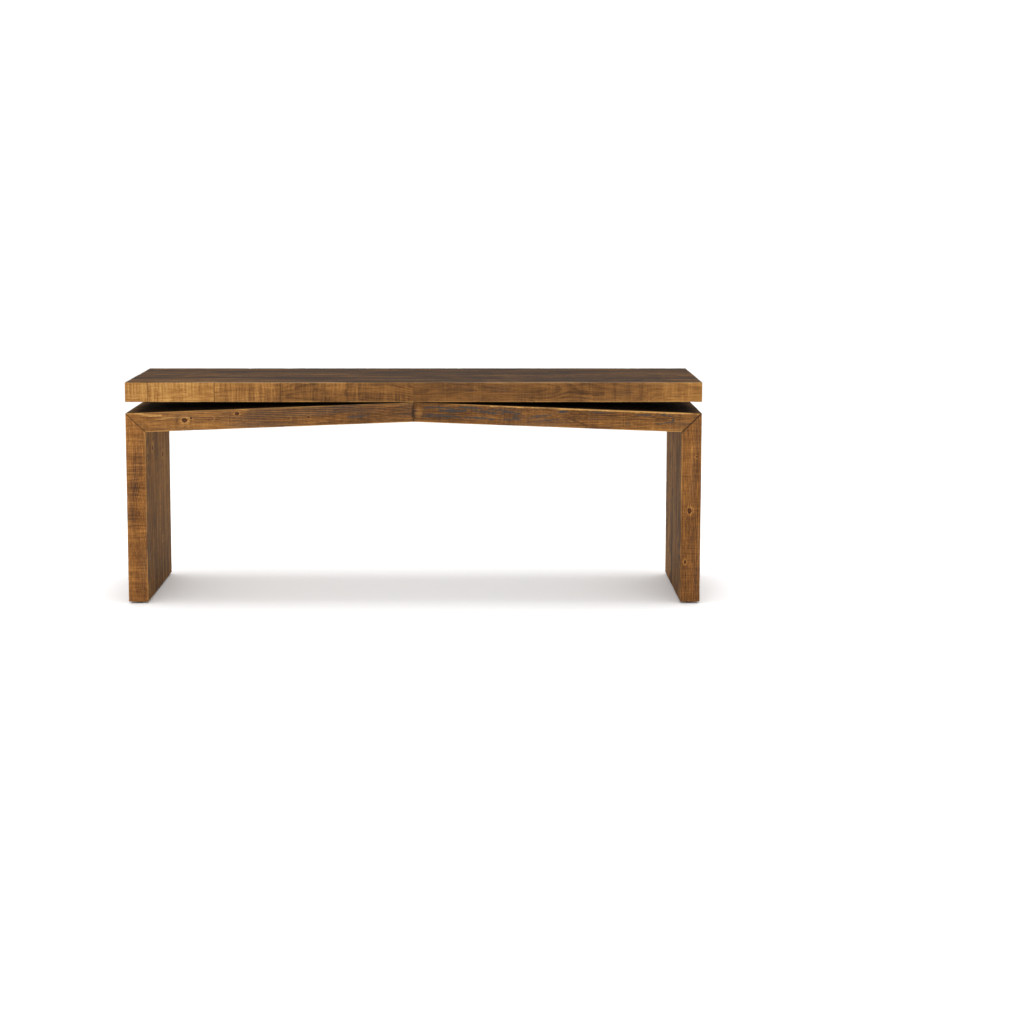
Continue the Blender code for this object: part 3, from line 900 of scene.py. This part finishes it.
# Knots that are where the real table has them: a point on the surface, and a radius in millimetres
KNOTS = {
    "panel_left_stave_1": [(-0.794, FRONT, 0.648, 6.8), (-0.612, FRONT, 0.671, 5),
                           (-0.365, FRONT, 0.659, 3.2), (-0.772, FRONT, 0.655, 3)],
    "panel_left_stave_3": [(-0.52, 0.02, 0.62, 7)],
    "leg_left_stave_1": [(-0.93, -0.16, 0.52, 4.5)],
    "leg_right_stave_1": [(0.961, FRONT, 0.33, 6.5), (0.947, FRONT, 0.148, 4.2),
                          (0.984, FRONT, 0.52, 2.8)],
    "leg_right_stave_4": [(RIGHT_END, 0.083, 0.331, 8.5), (RIGHT_END, 0.073, 0.077, 12)],
    "leg_right_stave_3": [(RIGHT_END, 0.009, 0.375, 5.5)],
    "leg_right_stave_2": [(RIGHT_END, -0.055, 0.036, 6.5)],
    "leg_right_stave_5": [(RIGHT_END, 0.167, 0.237, 5.5)],
    "slab_right_end_board_4": [(RIGHT_END, 0.092, 0.768, 8)],
}
# Marks on front faces: colour, strength, x, distance below the top edge, half length and half width in
# millimetres, angle in degrees, and for some their bend and softness
STROKES = {
    "panel_left_stave_1": [
        ("gold", 0.8, -920, 12, 55, 4, -4, -0.9), ("honey", 0.7, -935, 30, 35, 6, -28, 0.6),
        ("gold", 0.5, -850, 22, 40, 4, 6, 0.7), ("dark", 0.4, -821, 32, 16, 3.5, 84, 1.6),
        ("dark", 0.4, -770, 30, 16, 3.5, 96, -1.6), ("honey", 0.7, -735, 15, 50, 4, 3),
        ("gold", 0.3, -690, 28, 16, 3.5, 88, -4.0, 0.8), ("dark", 0.6, -672, 28, 11, 3, 90, -3, 0.8),
        ("honey", 0.5, -655, 28, 30, 3, -3), ("gold", 0.2, -425, 30, 15, 3.5, 92, -4.0, 0.8),
        ("dark", 0.6, -408, 30, 10, 3, 90, -3, 0.8), ("honey", 0.4, -390, 28, 30, 3, -2),
        ("smoke", 0.7, -195, 40, 40, 6, 4), ("dark", 0.6, -637, 34, 26, 1.6, 90),
        ("honey", 0.6, -80, 12, 70, 5, 1, -0.6), ("dark", 1.0, -16, 10, 15, 4, 155, 0.9),
        ("dark", 1.0, -4, 36, 26, 3, 90),
    ],
    "panel_right_stave_1": [
        ("smoke", 1.0, 85, 16, 55, 4.8, -3, 0.8), ("smoke", 1.0, 140, 28, 65, 4.5, -2, -0.8),
        ("smoke", 0.9, 195, 17, 55, 4.8, -4, 0.8), ("smoke", 0.9, 260, 30, 55, 4.5, -2, -0.6),
        ("smoke", 0.8, 100, 44, 75, 5.5, -3), ("smoke", 0.9, 315, 20, 55, 4.5, -4, 0.9),
        ("smoke", 0.7, 230, 48, 70, 5, -2, 0.5), ("smoke", 0.8, 335, 44, 50, 4, 6),
        ("smoke", 0.8, 358, 26, 18, 3.5, 26), ("smoke", 0.8, 358, 40, 18, 3.5, -30),
        ("smoke", 0.7, 430, 32, 50, 4.5, 8, 0.6), ("smoke", 0.7, 440, 47, 55, 4, 4, 0.6),
        ("smoke", 0.9, 515, 18, 28, 5, -3), ("dark", 0.6, 560, 32, 45, 3.5, 16, 0.5),
        ("dark", 0.6, 560, 46, 45, 3.5, -20, -0.5), ("smoke", 0.7, 640, 20, 50, 4, -3),
        ("honey", 0.6, 19, 34, 13, 23, 0), ("dark", 0.9, 726.5, 36, 30, 1.4, 90, 0.0, 0.6),
        ("smoke", 0.8, 738, 52, 9, 2.5, 90), ("smoke", 0.8, 748, 52, 9, 2.5, 90),
        ("smoke", 0.7, 800, 22, 35, 3.5, -5, 0.6), ("smoke", 0.9, 872, 19, 30, 3, -6, 1.0),
        ("smoke", 1.0, 900, 31, 12, 4, 84, -1.4), ("smoke", 1.0, 870, 44, 32, 3.6, 8, -1.1),
        # The edge mark on the next line, a golden line along the top front edge, is partly wear and partly
        # painted highlight.
        ("dark", 0.6, 846, 30, 40, 2.2, -4), ("worn", 1.0, 660, 3.6, 400, 3, -2.2),
    ],
    "slab_front_edge_2": [
        ("pale", 0.7, -691, 22, 12, 1.4, 90), ("dark", 1.0, -696, 44, 10, 1.8, 35),
        ("smoke", 0.45, -790, 36, 20, 10, 10), ("dark", 0.45, -880, 12, 35, 4, 0),
        ("smoke", 0.5, -715, 30, 28, 3, 90),
    ],
    "slab_front_edge_3": [
        ("dark", 0.5, -640, 10, 30, 4, 0), ("red", 0.6, -502, 48, 16, 8, 0),
        ("smoke", 0.6, -480, 36, 30, 3, 88), ("smoke", 0.5, -560, 34, 28, 3, 92),
    ],
    "slab_front_edge_4": [("smoke", 0.6, -440, 30, 30, 3, 90), ("honey", 0.6, -330, 50, 35, 4, 0)],
    "slab_front_edge_5": [("smoke", 0.6, -215, 32, 30, 3, 90), ("honey", 0.5, -238, 30, 28, 2, 90)],
    "slab_front_edge_6": [
        ("honey", 0.9, 222, 24, 36, 4.5, -8), ("honey", 0.7, 205, 44, 30, 4, 12),
        ("dark", 0.8, 240, 30, 18, 2, 60), ("pale", 0.5, 247, 36, 12, 1.6, 62),
        ("gold", 0.7, 948, 37, 22, 4, 90, -4.0, 0.8), ("dark", 0.7, 962, 37, 16, 4, 90, -3.5),
        ("gold", 0.6, 976, 37, 10, 4, 90, -3.0, 0.8), ("honey", 0.6, 640, 40, 60, 6, 0),
    ],
}
LEG_TONES = {"left": (-0.115, -0.10, -0.14, -0.09, -0.115), "right": (-0.07, -0.15, -0.13, -0.07, 0.01)}
LEG_RISES = {"left": (0.11, 0.11), "right": (0.0, 0.12)}     # outer staves, inner staves
TOP_TONES = (-0.04, -0.14, -0.02, -0.14, -0.08)
TOP_SHADES = ((-0.80, -0.30, -0.14), (0.30, 0.85, 0.10))
FRONT_TONES = (0.30, 0.30, 0.09, -0.04, -0.06, -0.08)
FRONT_SAWS = (1.1, 1.1, 1.0, 0.9, 0.8, 0.5)
FRONT_SHADES = {2: ((0.04, 0.08, -0.12),), 3: ((-0.1, 0.1, -0.10),),
                6: ((0.05, 0.45, 0.14), (0.40, 0.49, 0.04))}


def make_boards():
    """All boards that show."""
    for base, word in ((100, "left"), (200, "right")):
        right = word == "right"
        for number in range(1, 6):
            edge = number in (1, 5)
            add_board(f"leg_{word}_stave_{number}", Z, Y, FLOOR_SIDE[word], base + number,
                      0 if right or edge else 2, 1, tone=LEG_TONES[word][number - 1],
                      front_tone=0.06 if right else 0.09, saw=0.6 if right else 1.0, stain=0.35,
                      rings=0.8 if right else 0.4, contrast=0.9 if right else 0.6, warmth=0.75,
                      bands=0.4 if edge else 1.0, shades=((-0.25, 0.30, LEG_RISES[word][not edge]),))
            add_board(f"panel_{word}_stave_{number}", SLOPE[word], Y, PANEL_SIDE[word], base + 10 + number,
                      0 if edge else 3, int(number in (2, 4)), tone=-0.14 if right else -0.09,
                      front_tone=0.03, saw=0.4, stain=0.9 if right else 0.6, rings=0.8, contrast=0.7,
                      warmth=0.3, worn_share=0.85, shades=((-0.15, 0.30, 0.10 if right else 0.20),))
            add_board(f"slab_{word}_end_board_{number}", Z, Y, SLAB_PLANES, base + 20 + number, 0, 0,
                      tone=0.16, saw=0.5, stain=0.2)
    for number, tone in enumerate(TOP_TONES, 1):
        # The top boards carry a painted sheen: a grey film on their wide faces.
        add_board(f"slab_top_board_{number}", X, Y, SLAB_PLANES, 300 + number, 1, 1, tone=tone, saw=0.4,
                  stain=0.3, grey=0.26, contrast=2.1, bands=1.0, light=0.46, worn_share=1.4,
                  shades=TOP_SHADES)
    for number, tone in enumerate(FRONT_TONES, 1):
        add_board(f"slab_front_edge_{number}", X, Z, SLAB_PLANES, 320 + number, 0, 0, tone=tone,
                  saw=FRONT_SAWS[number - 1], stain=0.2, rings=0.3, contrast=0.45, bands=0.4, mottled=0.2,
                  worn_share=0.7, shades=FRONT_SHADES.get(number, ()))
    add_board("slab_back_edge", X, Z, SLAB_PLANES, 330, 4, 1, tone=0.05, saw=0.7, stain=0.3)
    add_board("slab_bottom_panel", X, Y, SLAB_PLANES, 340, 6, 0, tone=-0.1, saw=0.4, stain=0.3)


def dress_hidden_pieces():
    """Materials for the CAD pieces that stay, and the glides."""
    rib_wood = object_wood("rib_pine", linear(52, 37, 24), linear(84, 60, 38), "y")
    # Painted shade: the risers are near-black so that the gap between the slab and the panels stays dark.
    riser_near_black = object_wood("riser_pine", linear(22, 17, 13), linear(40, 30, 22), "x")
    tongue_wood = object_wood("spline_ply", linear(170, 130, 85), linear(215, 178, 130), "y")
    steel = speckled("black_oxide", (0.05, 0.05, 0.052, 1), (0.09, 0.09, 0.092, 1), 0.35, 0.2, 1.0)
    plastic = speckled("glide_black", (0.010, 0.010, 0.011, 1), (0.018, 0.018, 0.019, 1), 0.42, 0.15)
    for name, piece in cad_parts.items():
        if name.startswith("glide"):
            make_glide(name, plastic)
        for word, material in (("slab_rib", rib_wood), ("riser", riser_near_black), ("corner_spline", tongue_wood),
                               ("middle_spline", tongue_wood), ("bolt", steel)):
            if name.startswith(word):
                piece.data.materials.clear()
                piece.data.materials.append(material)


def arc(middle, radius, first, last, steps):
    """Points along an arc from one angle to another, in degrees."""
    angles = np.radians(np.linspace(first, last, steps + 1))
    return [(middle[0] + radius * math.cos(angle), middle[1] + radius * math.sin(angle)) for angle in angles]


# Outline of a glide as radius and height, in millimetres: the nail, the two rounded rims, the sole's lip and
# the dome in the sole's middle
GLIDE_OUTLINE = ((0.0, 22.0), (1.5, 19.0), (1.5, 5.7), *arc((10.25, 3.95), 1.75, 90, 0, 5),
                 *arc((9.6, 2.4), 2.4, 0, -90, 6), *arc((6.2, 1.1), 1.1, -90, -180, 4), (3.5, 1.1),
                 *arc((0.0, 17.15), 16.7, -78, -90, 3))


def make_glide(node, material):
    """A moulded plastic glide with a rounded rim, a dished sole and its nail."""
    low, high = np.array(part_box(node))
    centre = (low + high) / 2
    outline = [(radius * MM, low[2] + height * MM) for radius, height in GLIDE_OUTLINE]
    points = turned(centre, outline[1:-1])
    faces = [face[::-1] for face in grid_faces(len(outline) - 2, ROUND_SIDES)]
    for first, (_, level), order in ((0, outline[0], 1), (len(points) - ROUND_SIDES, outline[-1], -1)):
        points.append((centre[0], centre[1], level))
        for side in range(ROUND_SIDES):
            rim = (first + side, first + (side + 1) % ROUND_SIDES)
            faces.append((len(points) - 1, *rim[::order]))
    stand_for(node, new_mesh(node + "_detail", points, faces), material, GLIDE_SHARP)


# ------ floor, light and camera

DOME_HORIZON = 0.06          # brightness of the white dome low down and overhead
DOME_ZENITH = 1.66
DOME_LOOK = 1.1              # how bright it looks
FLOOR_REACH = 40.0
CAMERA_TILT = 4.45           # degrees below level


def make_floor():
    """A plain pale floor."""
    nodes = Nodes(bpy.data.materials.new("floor_white"))
    nodes.surface("Base Color", (0.9, 0.9, 0.9, 1))
    nodes.surface("Roughness", 0.9)
    nodes.surface("Specular IOR Level", 0.0)
    corners = [(x * FLOOR_REACH, y * FLOOR_REACH, 0) for x, y in ((-1, -1), (1, -1), (1, 1), (-1, 1))]
    mesh = new_mesh("floor", corners, [(0, 1, 2, 3)])
    mesh.materials.append(nodes.owner)
    placed("floor", mesh)


def make_world():
    """A white dome that lights from above and looks white all over."""
    nodes = Nodes(bpy.data.worlds.new("studio"), "Background")
    scene.world = nodes.owner
    direction = nodes.node("TexCoord").outputs["Generated"]
    height = nodes.node("SeparateXYZ", (direction,)).outputs["Z"]
    glow = nodes.node("MapRange", (height, 0.0, 1.0, DOME_HORIZON, DOME_ZENITH)).outputs[0]
    seen = nodes.node("LightPath").outputs["Is Camera Ray"]
    nodes.surface("Color", (1, 1, 1, 1))
    nodes.surface("Strength", nodes.node("Mix", (seen, None, glow, DOME_LOOK)).outputs[0])


def make_lamp(name, place, target, width, height, power):
    """Soft rectangular lamp that looks at a point."""
    data = bpy.data.lights.new(name, "AREA")
    data.shape = "RECTANGLE"
    data.size, data.size_y = width, height
    data.energy = power
    lamp = placed(name, data)
    lamp.location = place
    lamp.rotation_euler = (Vector(target) - Vector(place)).to_track_quat("-Z", "Y").to_euler()


def make_camera():
    """Camera at the photographer's place, looking slightly down."""
    data = bpy.data.cameras.new("camera")
    data.lens = 48.97
    data.sensor_width = 36
    data.shift_x, data.shift_y = 0.0375, -0.21
    camera = placed("camera", data)
    camera.location = (0.208, -4.971, 1.449)
    camera.rotation_euler = math.radians(90 - CAMERA_TILT), 0, 0
    bpy.context.scene.camera = camera


make_camera()
make_boards()
dress_hidden_pieces()
make_floor()
make_world()
make_lamp("overhead", (0, 0.05, 4.2), (0, 0, 0), 2.8, 1.0, 62)
make_lamp("front", (-0.6, -4.5, 2.2), (0, 0, 0.45), 3.0, 1.6, 46)
for side in (-1, 1):
    make_lamp("side", (2.5 * side, 0, 1.3), (1.3 * side, 0, 0), 0.7, 0.5, 5)
scene.view_settings.view_transform = "Standard"
